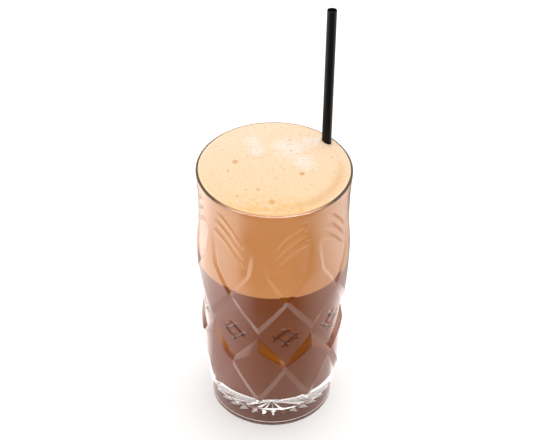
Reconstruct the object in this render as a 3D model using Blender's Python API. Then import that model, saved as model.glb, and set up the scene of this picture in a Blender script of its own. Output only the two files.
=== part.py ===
"""Iced coffee in a tall cut-glass tumbler, with a layer of foam and a black drinking straw.

Lengths are in metres and +Z is up. The origin is the middle of the glass's foot, on the table.
Angles round the glass are in degrees from -Y, turning towards +X.
The side of the glass is drawn flat first, one eighth at a time, then cut and wrapped round the axis.
"""
import math

import bmesh
import bpy
import numpy as np
from mathutils import Vector

MM = 0.001

# Glass, turned form
GLASS_HEIGHT = 150 * MM
RIM_RADIUS = 40 * MM
LIP_RADIUS = 0.9 * MM
FOOT_RADIUS = 31.5 * MM
HEEL_RADIUS = 32.6 * MM
HEEL_HEIGHT = 1.3 * MM
FLOOR_HEIGHT = 17 * MM
FLOOR_FILLET = 10 * MM
BORE_FOOT_RADIUS = 32.6 * MM
TURNED_SEGMENTS = 64

# Outer side: height and radius of the proud surface, where nothing is cut away
SIDE_FOOT = 12 * MM
SIDE_TOP = 147 * MM
SIDE_OUTLINE = [
    (12 * MM, 32.7 * MM),
    (14 * MM, 33.6 * MM),
    (17 * MM, 34.7 * MM),
    (21 * MM, 35.5 * MM),
    (26 * MM, 36.3 * MM),
    (38 * MM, 37.1 * MM),
    (50 * MM, 37.6 * MM),
    (72 * MM, 38.4 * MM),
    (90 * MM, 39.4 * MM),
    (103 * MM, 39.8 * MM),
    (112 * MM, 39.6 * MM),
    (122 * MM, 39.1 * MM),
    (131 * MM, 38.9 * MM),
    (141 * MM, 39.3 * MM),
    (147 * MM, 39.8 * MM),
]

# Cut pattern: one eighth runs from a fountain column (0) over a diamond (22.5) to an arch column (45)
EIGHTH = 45.0
DIAMOND_ANGLE = EIGHTH / 2
FOUNTAIN_ANGLE = -11.25
FLAT_RADIUS = 38 * MM
EIGHTH_COLUMNS = 8
PLAIN_ROWS = [12, 14.5, 18, 25, 34, 42, 50, 58.5, 67, 76, 86, 97, 109]

# Edges of the cuts: height at the columns, then height on the diamond's axis
DIAMOND_TOP_INNER = (68.5 * MM, 89 * MM)
DIAMOND_TOP_OUTER = (74.5 * MM, 95 * MM)
DIAMOND_FOOT_INNER = (66.5 * MM, 48.5 * MM)
DIAMOND_FOOT_OUTER = (57.5 * MM, 46.5 * MM)
TRIANGLE_INNER = (17 * MM, 41 * MM)
TRIANGLE_OUTER = (24 * MM, 48 * MM)
DIAMOND_DEPTH = 1.7 * MM

# The triangles are flat facets that lean in to the foot
FACET_FOOT = (15 * MM, 33.8 * MM)
FACET_TOP = (47 * MM, 36.4 * MM)

# Spires on the columns: height of each corner, and its angle from the column
SPIRE_EDGE = [(91 * MM, 22.5), (109 * MM, 5.5), (129 * MM, 1.2)]
SPIRE_WALL = 3.5
FIELD_DEPTH = 1.0 * MM
FIELD_FADE = (112 * MM, 129 * MM)

# Hatch of four short V-shaped cuts in each diamond
HATCH_DEPTH = 0.7 * MM
HATCH_FLANK = 1.0 * MM
HATCH_MIDDLE = 67 * MM
HATCH_ACROSS = 5.2 * MM
HATCH_RISE = 4.25 * MM
HATCH_OVERRUN = 0.45
HATCH_REACH = 13.0

# Fans of curved blades between the spires
BLADE_DEPTH = 1.0 * MM
BLADE_FLANK = 1.5 * MM
BLADE_LIFTS = [0.0, 6.8 * MM, 13.4 * MM]
BLADE_SPANS = [(13.5, 40.0), (11.5, 37.5), (11.5, 35.5)]
ARCH_TOP = 130.5 * MM
ARCH_RISE = 15 * MM
ARCH_LEFT = 10.0
ARCH_RIGHT = 40.0
ARCH_WIDTH = 26.0
ARCH_POWER = 1.8

# Star cut into the hollow of the underside
STAR_POINTS = 24
STAR_TURN = 3.75
FOOT_RING_INNER = 26.6 * MM
FOOT_RING_STEP = 0.3 * MM
HOLLOW_HEIGHT = 2.0 * MM
HOLLOW_EDGE = 22 * MM
STAR_TIP_RADIUS = 21 * MM
STAR_RADIUS = 16.5 * MM
STAR_VALLEY_HEIGHT = 4.2 * MM

# Drink and foam
GAP = 0.3 * MM
COFFEE_TOP = 94.7 * MM
FOAM_EDGE = 149.6 * MM
FOAM_DOME = 2.0 * MM
FOAM_SWELL = 0.25 * MM
FOAM_RINGS = [0.0, 0.3, 0.55, 0.76, 0.9, 1.0]

# Straw
STRAW_RADIUS = 2.5 * MM
STRAW_WALL = 0.3 * MM
STRAW_LENGTH = 207 * MM
STRAW_FOOT = Vector((24.9 * MM, 6.8 * MM, 20 * MM))
STRAW_AT_RIM = Vector((26.65 * MM, 22.3 * MM, 151.2 * MM))
STRAW_SEGMENTS = 24


def clear_scene():
    for thing in list(bpy.data.objects):
        bpy.data.objects.remove(thing, do_unlink=True)


def make_material(name, color, roughness, metallic=0.0, transmission=0.0, ior=1.5):
    material = bpy.data.materials.new(name)
    material.use_nodes = True
    shader = material.node_tree.nodes["Principled BSDF"]
    shader.inputs["Base Color"].default_value = (*color, 1.0)
    shader.inputs["Roughness"].default_value = roughness
    shader.inputs["Metallic"].default_value = metallic
    shader.inputs["Transmission Weight"].default_value = transmission
    shader.inputs["IOR"].default_value = ior
    material.diffuse_color = (*color, 1.0)
    return material


def make_object(name, bm, material, sharp_angle):
    """Turns a finished bmesh into one object with outward faces and smooth shading."""
    bmesh.ops.recalc_face_normals(bm, faces=bm.faces)
    mesh = bpy.data.meshes.new(name)
    bm.to_mesh(mesh)
    bm.free()
    mesh.shade_smooth()
    mesh.set_sharp_from_angle(angle=math.radians(sharp_angle))
    mesh.materials.append(material)
    thing = bpy.data.objects.new(name, mesh)
    bpy.context.collection.objects.link(thing)
    return thing


def smooth_through(points, at):
    """Value at one place of a smooth curve through (place, value) points."""
    places, values = np.array(points).T
    slopes = np.gradient(values, places)
    i = int(np.clip(np.searchsorted(places, at) - 1, 0, len(places) - 2))
    span = places[i + 1] - places[i]
    t = (at - places[i]) / span
    start = (1 + 2 * t) * (1 - t) ** 2 * values[i] + t * (1 - t) ** 2 * span * slopes[i]
    end = t * t * (3 - 2 * t) * values[i + 1] + t * t * (t - 1) * span * slopes[i + 1]
    return float(start + end)


def side_radius(height):
    return smooth_through(SIDE_OUTLINE, height)


def flat(angle, height):
    """A place on the side, as it lies on the flat drawing."""
    return Vector((math.radians(angle) * FLAT_RADIUS, height, 0.0))


def angle_of(place):
    return math.degrees(place.x / FLAT_RADIUS)


def ramp(value, start, end):
    """Share of the way from start to end, from 0 to 1."""
    return min(max((value - start) / (end - start), 0.0), 1.0)


def edge_height(edge, angle):
    column, axis = edge
    return axis + (column - axis) * abs(angle - DIAMOND_ANGLE) / DIAMOND_ANGLE


def facet_depth(height):
    (low, low_radius), (high, high_radius) = FACET_FOOT, FACET_TOP
    radius = low_radius + (high_radius - low_radius) * (height - low) / (high - low)
    return max(0.0, side_radius(height) - radius) * ramp(height, SIDE_FOOT, low)


def spire_angle(height):
    heights, angles = zip(*SPIRE_EDGE)
    return float(np.interp(height, heights, angles))


def relief_depth(angle, height):
    """How far the diamonds, the triangles below them and the fields above them are cut back."""
    top = ramp(height, edge_height(DIAMOND_TOP_OUTER, angle), edge_height(DIAMOND_TOP_INNER, angle))
    foot = ramp(height, edge_height(DIAMOND_FOOT_OUTER, angle), edge_height(DIAMOND_FOOT_INNER, angle))
    diamond = DIAMOND_DEPTH * min(top, foot)
    wall = ramp(height, edge_height(TRIANGLE_OUTER, angle), edge_height(TRIANGLE_INNER, angle))
    triangle = wall * facet_depth(height)
    spire = spire_angle(height)
    wall = ramp(min(angle, EIGHTH - angle), spire, spire + SPIRE_WALL)
    field = FIELD_DEPTH * wall * ramp(height, FIELD_FADE[1], FIELD_FADE[0])
    return max(diamond, triangle, field)


def hatch_lines():
    """Two pairs of crossing cuts in the diamond, with their ends run past the crossings."""
    across = math.degrees(HATCH_ACROSS / FLAT_RADIUS)
    lines = []
    for lean in (1, -1):
        step = flat(lean * across, HATCH_RISE)
        first = flat(DIAMOND_ANGLE - lean * across, HATCH_MIDDLE)
        second = flat(DIAMOND_ANGLE, HATCH_MIDDLE - HATCH_RISE)
        for corner in (first, second):
            lines.append((corner - step * HATCH_OVERRUN, corner + step * (1 + HATCH_OVERRUN)))
    return lines


def hatch_depth(place):
    deepest = 0.0
    for start, end in hatch_lines():
        along = (end - start).normalized()
        share = (place - start).dot(along) / (end - start).length
        if 0 < share < 1:
            side = abs((place - start).cross(along).z)
            taper = math.sin(math.pi * share) ** 0.5
            deepest = max(deepest, HATCH_DEPTH * taper * (1 - side / HATCH_FLANK))
    return deepest


def crease(bm, start, end, left, right, offset=0.0):
    """Splits the faces between two angles, and near a line, along that line of the flat drawing."""
    across = Vector((start.y - end.y, end.x - start.x, 0.0)).normalized()
    low, high = sorted((start.y, end.y))
    faces = []
    for face in bm.faces:
        heights = [vert.co.y for vert in face.verts]
        middle = angle_of(face.calc_center_median())
        if left <= middle <= right and max(heights) > low and min(heights) < high:
            faces.append(face)
    edges = list({edge for face in faces for edge in face.edges})
    verts = list({vert for face in faces for vert in face.verts})
    bmesh.ops.bisect_plane(bm, geom=verts + edges + faces, dist=0.05 * MM,
                           plane_co=start + across * offset, plane_no=across)


def crease_edges(bm):
    """Creases along the top and the bottom of every wall, on both sides of the diamond's axis."""
    edges = [DIAMOND_TOP_INNER, DIAMOND_TOP_OUTER, DIAMOND_FOOT_INNER, DIAMOND_FOOT_OUTER,
             TRIANGLE_INNER, TRIANGLE_OUTER]
    lines = [((0.0, column), (DIAMOND_ANGLE, axis)) for column, axis in edges]
    for wall in (0.0, SPIRE_WALL):
        for (low, low_angle), (high, high_angle) in zip(SPIRE_EDGE, SPIRE_EDGE[1:]):
            lines.append(((low_angle + wall, low), (high_angle + wall, high)))
    for (first_angle, first), (second_angle, second) in lines:
        crease(bm, flat(first_angle, first), flat(second_angle, second), 0.0, DIAMOND_ANGLE)
        crease(bm, flat(EIGHTH - first_angle, first), flat(EIGHTH - second_angle, second),
               DIAMOND_ANGLE, EIGHTH)


def crease_hatch(bm):
    for start, end in hatch_lines():
        for offset in (-HATCH_FLANK, 0.0, HATCH_FLANK):
            crease(bm, start, end, DIAMOND_ANGLE - HATCH_REACH, DIAMOND_ANGLE + HATCH_REACH, offset)


def arch(angle):
    """Height of the lowest blade's line, which rises and flattens away from the fountain column."""
    angle = min(max(angle, ARCH_LEFT), ARCH_RIGHT)
    return ARCH_TOP - ARCH_RISE * ((ARCH_RIGHT - angle) / ARCH_WIDTH) ** ARCH_POWER


def blade_depth(angle, height):
    deepest = 0.0
    for lift, (first, last) in zip(BLADE_LIFTS, BLADE_SPANS):
        if first < angle < last:
            taper = math.sin(math.pi * (angle - first) / (last - first)) ** 0.5
            gap = abs(height - arch(angle) - lift)
            deepest = max(deepest, BLADE_DEPTH * taper * (1.0 - gap / BLADE_FLANK))
    return deepest


def row_heights(angle):
    """Heights of the drawing's rows: straight ones below, and ones that follow the blades above."""
    rows = [row * MM for row in PLAIN_ROWS]
    for lift in BLADE_LIFTS:
        for side in (-BLADE_FLANK, 0.0, BLADE_FLANK):
            rows.append(arch(angle) + lift + side)
    return rows + [(rows[-1] + SIDE_TOP) / 2, SIDE_TOP]


def cut_eighth():
    """One eighth of the glass's side on the flat drawing, with its depth of cut kept in z."""
    bm = bmesh.new()
    rows = len(row_heights(0.0)) - 1
    bmesh.ops.create_grid(bm, x_segments=EIGHTH_COLUMNS, y_segments=rows, size=0.5)
    for vert in bm.verts:
        angle = (vert.co.x + 0.5) * EIGHTH
        vert.co = flat(angle, row_heights(angle)[round((vert.co.y + 0.5) * rows)])
    crease_edges(bm)
    crease_hatch(bm)
    bmesh.ops.remove_doubles(bm, verts=bm.verts, dist=0.1 * MM)
    bmesh.ops.triangulate(bm, faces=bm.faces, quad_method="SHORT_EDGE", ngon_method="BEAUTY")
    for vert in bm.verts:
        angle, height = angle_of(vert.co), vert.co.y
        depth = relief_depth(angle, height) + hatch_depth(vert.co) + blade_depth(angle, height)
        vert.co.z = -depth
    return bm


def wrap(verts, start, mirror):
    """Wraps a flat eighth round the axis, from its start angle."""
    for vert in verts:
        angle = angle_of(vert.co)
        angle = start + (EIGHTH - angle if mirror else angle)
        radius = side_radius(vert.co.y) + vert.co.z
        turn = math.radians(angle)
        vert.co = (radius * math.sin(turn), -radius * math.cos(turn), vert.co.y)


def add_cut_side(bm):
    eighth = cut_eighth()
    mesh = bpy.data.meshes.new("eighth")
    eighth.to_mesh(mesh)
    eighth.free()
    for index in range(8):
        first_vert, first_face = len(bm.verts), len(bm.faces)
        bm.from_mesh(mesh)
        bm.verts.ensure_lookup_table()
        bm.faces.ensure_lookup_table()
        mirror = index % 2 == 1
        wrap(bm.verts[first_vert:], FOUNTAIN_ANGLE + EIGHTH * index, mirror)
        if mirror:
            bmesh.ops.reverse_faces(bm, faces=bm.faces[first_face:])
    bpy.data.meshes.remove(mesh)


def bore_radius(height):
    """Inner wall above the fillet: a straight taper up to the lip."""
    top = GLASS_HEIGHT - LIP_RADIUS
    lip_inner = RIM_RADIUS - 2 * LIP_RADIUS
    foot = FLOOR_HEIGHT + FLOOR_FILLET
    return BORE_FOOT_RADIUS + (lip_inner - BORE_FOOT_RADIUS) * (height - foot) / (top - foot)


def bore_outline(inset, top):
    """The bore's outline from the axis up to a height, moved inwards by an inset."""
    fillet = FLOOR_FILLET - inset
    middle = BORE_FOOT_RADIUS - FLOOR_FILLET
    height = FLOOR_HEIGHT + FLOOR_FILLET
    points = [(0.0, height - fillet)]
    for degrees in (0, 22.5, 45, 67.5, 90):
        turn = math.radians(degrees)
        points.append((middle + fillet * math.sin(turn), height - fillet * math.cos(turn)))
    points.append((bore_radius(top) - inset, top))
    return points


def spin_outline(bm, points, segments=TURNED_SEGMENTS):
    """Turns an outline of (radius, height) points round the axis."""
    verts = [bm.verts.new((0.0, -radius, height)) for radius, height in points]
    edges = [bm.edges.new(pair) for pair in zip(verts, verts[1:])]
    bmesh.ops.spin(bm, geom=verts + edges, cent=(0, 0, 0), axis=(0, 0, 1), angle=math.tau,
                   steps=segments, use_merge=True)


def close_seams(bm):
    bmesh.ops.remove_doubles(bm, verts=bm.verts, dist=0.01 * MM)
    bmesh.ops.dissolve_degenerate(bm, edges=bm.edges, dist=0.001 * MM)


def add_star(bm):
    """The star under the foot: V-shaped grooves from the middle, each with its tip on the hollow."""
    centre = bm.verts.new((0.0, 0.0, STAR_VALLEY_HEIGHT))
    corners = STAR_POINTS * 2
    rim, ring = [], []
    for corner in range(corners):
        turn = math.radians(STAR_TURN) + math.tau * corner / corners
        direction = Vector((math.sin(turn), -math.cos(turn), 0.0))
        height = STAR_VALLEY_HEIGHT if corner % 2 == 0 else HOLLOW_HEIGHT
        rim.append(bm.verts.new(direction * STAR_TIP_RADIUS + Vector((0, 0, HOLLOW_HEIGHT))))
        ring.append(bm.verts.new(direction * STAR_RADIUS + Vector((0, 0, height))))
    for corner in range(corners):
        after = (corner + 1) % corners
        bm.faces.new((centre, ring[corner], ring[after]))
        valley, ridge = (corner, after) if corner % 2 == 0 else (after, corner)
        bm.faces.new((ring[valley], rim[valley], ring[ridge]))
        bm.faces.new((ring[ridge], rim[valley], rim[ridge]))
    return [bm.edges.get((first, second)) for first, second in zip(rim, rim[1:] + rim[:1])]


def join_star(bm, rim_edges):
    """Bridges the hollow's edge to the star's rim, which has another number of corners."""
    edge = []
    for candidate in bm.edges:
        ends = [vert.co.xy.length for vert in candidate.verts]
        if candidate.is_boundary and max(abs(end - HOLLOW_EDGE) for end in ends) < 0.01 * MM:
            edge.append(candidate)
    bmesh.ops.bridge_loops(bm, edges=edge + rim_edges)


def build_glass():
    bm = bmesh.new()
    add_cut_side(bm)
    lip_middle = (RIM_RADIUS - LIP_RADIUS, GLASS_HEIGHT - LIP_RADIUS)
    upper = [(side_radius(SIDE_TOP), SIDE_TOP)]
    for degrees in (0, 45, 90, 135, 180):
        turn = math.radians(degrees)
        upper.append((lip_middle[0] + LIP_RADIUS * math.cos(turn),
                      lip_middle[1] + LIP_RADIUS * math.sin(turn)))
    upper += reversed(bore_outline(0.0, COFFEE_TOP))
    spin_outline(bm, upper)
    lower = [
        (side_radius(SIDE_FOOT), SIDE_FOOT),
        (HEEL_RADIUS, HEEL_HEIGHT),
        (FOOT_RADIUS + 0.25 * MM, 0.3 * MM),
        (FOOT_RADIUS, 0.0),
        (FOOT_RING_INNER, 0.0),
        (FOOT_RING_INNER - FOOT_RING_STEP, FOOT_RING_STEP),
        (HOLLOW_EDGE, HOLLOW_HEIGHT),
    ]
    spin_outline(bm, lower)
    close_seams(bm)
    join_star(bm, add_star(bm))
    material = make_material("glass", (0.93, 0.95, 0.95), 0.03, transmission=1.0, ior=1.52)
    return make_object("glass", bm, material, 12)


def cut_straw_hole(thing):
    """Cuts a round hole for the straw, a little wider and deeper than the straw."""
    axis = (STRAW_AT_RIM - STRAW_FOOT).normalized()
    length = STRAW_LENGTH + 2 * GAP
    bm = bmesh.new()
    bmesh.ops.create_cone(bm, cap_ends=True, segments=STRAW_SEGMENTS, radius1=STRAW_RADIUS + GAP,
                          radius2=STRAW_RADIUS + GAP, depth=length)
    mesh = bpy.data.meshes.new("straw_hole")
    bm.to_mesh(mesh)
    bm.free()
    cutter = bpy.data.objects.new("straw_hole", mesh)
    bpy.context.collection.objects.link(cutter)
    cutter.rotation_euler = axis.to_track_quat("Z", "Y").to_euler()
    cutter.location = STRAW_FOOT + axis * (length / 2 - GAP)
    cutter.hide_render = True
    cutter.display_type = "WIRE"
    modifier = thing.modifiers.new("straw_hole", "BOOLEAN")
    modifier.operation = "DIFFERENCE"
    modifier.solver = "EXACT"
    modifier.object = cutter


def build_coffee():
    bm = bmesh.new()
    spin_outline(bm, bore_outline(GAP, COFFEE_TOP) + [(0.0, COFFEE_TOP)])
    close_seams(bm)
    material = make_material("coffee", (0.10, 0.035, 0.012), 0.1)
    thing = make_object("coffee", bm, material, 30)
    cut_straw_hole(thing)


def foam_height(radius, turn):
    """The foam stands a little above the lip and has a few soft swells."""
    share = radius / (bore_radius(FOAM_EDGE) - GAP)
    swell = math.sin(3 * turn + 0.7) * (1 - share ** 4)
    swell += 0.6 * math.cos(7 * share + 2 * turn) * (1 - share ** 2)
    return FOAM_EDGE + FOAM_DOME * (1 - share ** 8) + FOAM_SWELL * share * swell


def build_foam():
    edge = bore_radius(FOAM_EDGE) - GAP
    foot = COFFEE_TOP + GAP
    outline = [(0.0, foot), (bore_radius(foot) - GAP, foot)]
    outline += [(edge * share, FOAM_EDGE) for share in reversed(FOAM_RINGS)]
    bm = bmesh.new()
    spin_outline(bm, outline)
    close_seams(bm)
    for vert in bm.verts:
        if vert.co.z > FOAM_EDGE - GAP:
            vert.co.z = foam_height(vert.co.xy.length, math.atan2(vert.co.y, vert.co.x))
    material = make_material("foam", (0.85, 0.62, 0.42), 0.7)
    thing = make_object("foam", bm, material, 30)
    cut_straw_hole(thing)


def build_straw():
    """A thin tube, open at both ends, that leans against the lip."""
    inner = STRAW_RADIUS - STRAW_WALL
    bm = bmesh.new()
    corners = [(STRAW_RADIUS, 0.0), (STRAW_RADIUS, STRAW_LENGTH), (inner, STRAW_LENGTH), (inner, 0.0)]
    spin_outline(bm, corners + corners[:1], STRAW_SEGMENTS)
    close_seams(bm)
    material = make_material("straw", (0.012, 0.011, 0.011), 0.35)
    thing = make_object("straw", bm, material, 40)
    thing.location = STRAW_FOOT
    thing.rotation_euler = (STRAW_AT_RIM - STRAW_FOOT).to_track_quat("Z", "Y").to_euler()


clear_scene()
build_glass()
build_coffee()
build_foam()
build_straw()
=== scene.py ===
# %% [markdown]
# # Iced coffee in a cut-glass tumbler
#
# The real drink is a tall glass, thick and cut all over, filled with cold coffee under a deep
# layer of pale foam, with one black straw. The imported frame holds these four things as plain
# solids. Here each solid is replaced by a finer piece in the same place, with its own finish.

import math
from functools import lru_cache

import bmesh
import bpy
import numpy as np
from mathutils import Matrix, Vector, noise


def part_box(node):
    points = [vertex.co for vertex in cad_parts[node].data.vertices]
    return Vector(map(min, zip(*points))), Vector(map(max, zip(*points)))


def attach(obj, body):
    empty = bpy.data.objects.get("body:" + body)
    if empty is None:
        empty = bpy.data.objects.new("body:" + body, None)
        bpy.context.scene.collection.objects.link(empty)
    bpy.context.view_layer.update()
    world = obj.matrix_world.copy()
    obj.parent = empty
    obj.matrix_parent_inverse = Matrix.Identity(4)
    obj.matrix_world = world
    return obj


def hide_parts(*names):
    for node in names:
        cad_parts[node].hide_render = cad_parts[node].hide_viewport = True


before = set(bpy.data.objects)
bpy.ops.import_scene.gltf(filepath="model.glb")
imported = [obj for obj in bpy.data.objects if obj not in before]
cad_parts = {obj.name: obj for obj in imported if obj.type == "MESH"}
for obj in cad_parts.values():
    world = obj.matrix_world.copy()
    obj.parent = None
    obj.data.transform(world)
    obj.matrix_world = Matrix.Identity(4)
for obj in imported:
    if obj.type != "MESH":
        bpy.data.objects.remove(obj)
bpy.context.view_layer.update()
MM = 0.001

# %% [markdown]
# ## Camera
#
# The two ellipses of the rim and the foot give the camera: it looks down at 38.8 degrees with a
# long lens, from a little over a metre. A long lens keeps the sides of the glass nearly parallel.
# The camera is built from three directions, right, up and back, because a small roll is then
# one turn of the first two.

# %% Camera
PITCH = math.radians(38.814)
ROLL = math.radians(0.7687)
CAMERA_DISTANCE = 1.11585
CAMERA_TARGET = Vector((0.00067, 0.0, 0.11631))
LENS = 141.4
SENSOR_WIDTH = 36.0

forward = Vector((0.0, math.cos(PITCH), -math.sin(PITCH)))
level_right = Vector((1.0, 0.0, 0.0))
level_up = level_right.cross(forward)
right = level_right * math.cos(ROLL) + level_up * math.sin(ROLL)
up = level_up * math.cos(ROLL) - level_right * math.sin(ROLL)

camera_data = bpy.data.cameras.new("camera")
camera_data.lens = LENS
camera_data.sensor_width = SENSOR_WIDTH
camera_data.clip_start = 0.05
camera = bpy.data.objects.new("camera", camera_data)
bpy.context.collection.objects.link(camera)
turn = Matrix((right, up, -forward)).transposed()
camera.matrix_world = Matrix.Translation(CAMERA_TARGET - forward * CAMERA_DISTANCE) @ turn.to_4x4()
bpy.context.scene.camera = camera
bpy.context.scene.view_settings.view_transform = "Standard"
print("camera at", [round(value, 3) for value in camera.location])

# %% [markdown]
# ## Helpers
#
# A finished piece is a bmesh written to one object at the origin, with its place in its mesh.
# Outlines are spun round the axis, and a smooth curve through a few named points gives the
# glass's side. The curve is a cubic between each two points, so it has no corners.

# %% Helpers for pieces
def make_piece(name, bm, sharp_angle=30.0):
    """Writes a bmesh to one smooth object at the origin, with creases kept sharp."""
    gaps = sum(not edge.is_manifold for edge in bm.edges)
    mesh = bpy.data.meshes.new(name)
    bm.to_mesh(mesh)
    bm.free()
    mesh.shade_smooth()
    mesh.set_sharp_from_angle(angle=math.radians(sharp_angle))
    piece = bpy.data.objects.new(name, mesh)
    bpy.context.collection.objects.link(piece)
    triangles = sum(len(face.vertices) - 2 for face in mesh.polygons)
    print(name, "has", triangles, "triangles,", gaps, "open edges")
    return piece


def close_seams(bm):
    bmesh.ops.remove_doubles(bm, verts=bm.verts, dist=0.01 * MM)
    bmesh.ops.dissolve_degenerate(bm, edges=bm.edges, dist=0.001 * MM)
    bmesh.ops.recalc_face_normals(bm, faces=bm.faces)


WEDGES = 16


def spin_outline(bm, points, segments):
    """Turns an outline of (radius, height) points round the axis, one wedge at a time."""
    wedge = bmesh.new()
    verts = [wedge.verts.new((0.0, -radius, height)) for radius, height in points]
    edges = [wedge.edges.new(pair) for pair in zip(verts, verts[1:])]
    bmesh.ops.spin(wedge, geom=verts + edges, cent=(0, 0, 0), axis=(0, 0, 1),
                   angle=math.tau / WEDGES, steps=segments // WEDGES)
    mesh = bpy.data.meshes.new("wedge")
    wedge.to_mesh(mesh)
    wedge.free()
    for index in range(WEDGES):
        first = len(bm.verts)
        bm.from_mesh(mesh)
        bm.verts.ensure_lookup_table()
        bmesh.ops.rotate(bm, verts=bm.verts[first:], cent=(0, 0, 0),
                         matrix=Matrix.Rotation(math.tau * index / WEDGES, 3, "Z"))
    bpy.data.meshes.remove(mesh)


def smooth_through(points, at):
    """Value at one place of a smooth curve through (place, value) points."""
    places, values = np.array(points).T
    slopes = np.gradient(values, places)
    i = int(np.clip(np.searchsorted(places, at) - 1, 0, len(places) - 2))
    span = places[i + 1] - places[i]
    t = (at - places[i]) / span
    start = (1 + 2 * t) * (1 - t) ** 2 * values[i] + t * (1 - t) ** 2 * span * slopes[i]
    end = t * t * (3 - 2 * t) * values[i + 1] + t * t * (t - 1) * span * slopes[i + 1]
    return float(start + end)


def finish(piece, node, material):
    piece.data.materials.append(material)
    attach(piece, "root")
    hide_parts(node)


# %% Sizes of the glass, from the frame
glass_low, glass_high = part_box("glass")
GLASS_HEIGHT = glass_high[2]
RIM_RADIUS = glass_high[0]
LIP_RADIUS = 0.9 * MM
FOOT_RADIUS = 31.5 * MM
HEEL_RADIUS = 32.6 * MM
HEEL_HEIGHT = 1.3 * MM
FLOOR_HEIGHT = 17 * MM
FLOOR_FILLET = 10 * MM
BORE_FOOT_RADIUS = 32.6 * MM
COLUMNS = 36
SEGMENTS = 8 * COLUMNS
SIDE_FOOT = 12 * MM
SIDE_TOP = 147 * MM
SIDE_OUTLINE = [
    (12 * MM, 32.7 * MM),
    (14 * MM, 33.6 * MM),
    (17 * MM, 34.7 * MM),
    (21 * MM, 35.5 * MM),
    (26 * MM, 36.3 * MM),
    (38 * MM, 37.1 * MM),
    (50 * MM, 37.6 * MM),
    (72 * MM, 38.4 * MM),
    (90 * MM, 39.4 * MM),
    (103 * MM, 39.8 * MM),
    (112 * MM, 39.6 * MM),
    (122 * MM, 39.1 * MM),
    (131 * MM, 38.9 * MM),
    (141 * MM, 39.3 * MM),
    (147 * MM, 39.8 * MM),
]


@lru_cache(maxsize=None)
def side_radius(height):
    return smooth_through(SIDE_OUTLINE, height)


def bore_radius(height):
    """Inner wall above the fillet: a straight taper up to the lip."""
    top = GLASS_HEIGHT - LIP_RADIUS
    foot = FLOOR_HEIGHT + FLOOR_FILLET
    share = (height - foot) / (top - foot)
    return BORE_FOOT_RADIUS + (RIM_RADIUS - 2 * LIP_RADIUS - BORE_FOOT_RADIUS) * share


print("glass", round(GLASS_HEIGHT / MM, 1), "mm tall,", round(2 * RIM_RADIUS / MM, 1), "mm across")

# %% [markdown]
# ## The cut pattern
#
# A glass cutter grinds flat facets and V-shaped cuts into a thick turned blank. Here a belt of
# eight diamonds is cut back behind sloping walls, with triangles below, and pointed spires stand
# between the fields above. Each diamond has a small hatch of four short cuts, and curved blades
# fan out between the spires.
#
# The side is drawn flat first, one eighth at a time: a grid whose upper rows follow the blades.
# The edges of the cuts are creased into it with bisect_plane, so that every edge of a wall is an
# edge of the mesh. Each point then sinks by the depth of cut there, and the eighth is wrapped
# round the axis, alternately as drawn and mirrored. A normal map could not do this, because glass
# bends light by its true shape.

# %% Sizes of the diamonds, triangles, spires and hatch
EIGHTH = 45.0
DIAMOND_ANGLE = EIGHTH / 2
FOUNTAIN_ANGLE = -11.25
FLAT_RADIUS = 38 * MM
PLAIN_ROWS = [12, 14.5, 18, 25, 34, 42, 50, 58.5, 67, 76, 86, 97, 109]

# Edges of the cuts: height at the columns, then height on the diamond's axis
DIAMOND_TOP_INNER = (68.5 * MM, 89 * MM)
DIAMOND_TOP_OUTER = (74.5 * MM, 95 * MM)
DIAMOND_FOOT_INNER = (66.5 * MM, 48.5 * MM)
DIAMOND_FOOT_OUTER = (57.5 * MM, 46.5 * MM)
TRIANGLE_INNER = (17 * MM, 41 * MM)
TRIANGLE_OUTER = (24 * MM, 48 * MM)
DIAMOND_DEPTH = 1.7 * MM

# The triangles are flat facets that lean in to the foot
FACET_FOOT = (15 * MM, 33.8 * MM)
FACET_TOP = (47 * MM, 36.4 * MM)

# Spires on the columns: height of each corner, and its angle from the column
SPIRE_EDGE = [(91 * MM, 22.5), (109 * MM, 5.5), (129 * MM, 1.2)]
SPIRE_WALL = 3.5
FIELD_DEPTH = 1.0 * MM
FIELD_FADE = (112 * MM, 129 * MM)

# Hatch of four short V-shaped cuts in each diamond
HATCH_DEPTH = 0.7 * MM
HATCH_FLANK = 1.0 * MM
HATCH_MIDDLE = 67 * MM
HATCH_ACROSS = 5.2 * MM
HATCH_RISE = 4.25 * MM
HATCH_OVERRUN = 0.45
HATCH_REACH = 13.0
CELL_HEIGHT = 1.1 * MM

print("the diamonds are cut", round(DIAMOND_DEPTH / MM, 1), "mm deep")

# %% Sizes of the blades
BLADE_DEPTH = 1.0 * MM
BLADE_FLANK = 1.5 * MM
BLADE_LIFTS = [0.0, 6.8 * MM, 13.4 * MM]
BLADE_SPANS = [(13.5, 40.0), (11.5, 37.5), (11.5, 35.5)]
ARCH_TOP = 130.5 * MM
ARCH_RISE = 15 * MM
ARCH_LEFT = 10.0
ARCH_RIGHT = 40.0
ARCH_WIDTH = 26.0
ARCH_POWER = 1.8

print("blades:", 8 * len(BLADE_LIFTS), "of them", BLADE_DEPTH / MM, "mm deep")


# %% Depth of the facets
def flat(angle, height):
    """A place on the side, as it lies on the flat drawing."""
    return Vector((math.radians(angle) * FLAT_RADIUS, height, 0.0))


def angle_of(place):
    return math.degrees(place.x / FLAT_RADIUS)


def ramp(value, start, end):
    """Share of the way from start to end, from 0 to 1."""
    return min(max((value - start) / (end - start), 0.0), 1.0)


def edge_height(edge, angle):
    column, axis = edge
    return axis + (column - axis) * abs(angle - DIAMOND_ANGLE) / DIAMOND_ANGLE


def facet_depth(height):
    (low, low_radius), (high, high_radius) = FACET_FOOT, FACET_TOP
    radius = low_radius + (high_radius - low_radius) * (height - low) / (high - low)
    return max(0.0, side_radius(height) - radius) * ramp(height, SIDE_FOOT, low)


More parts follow.
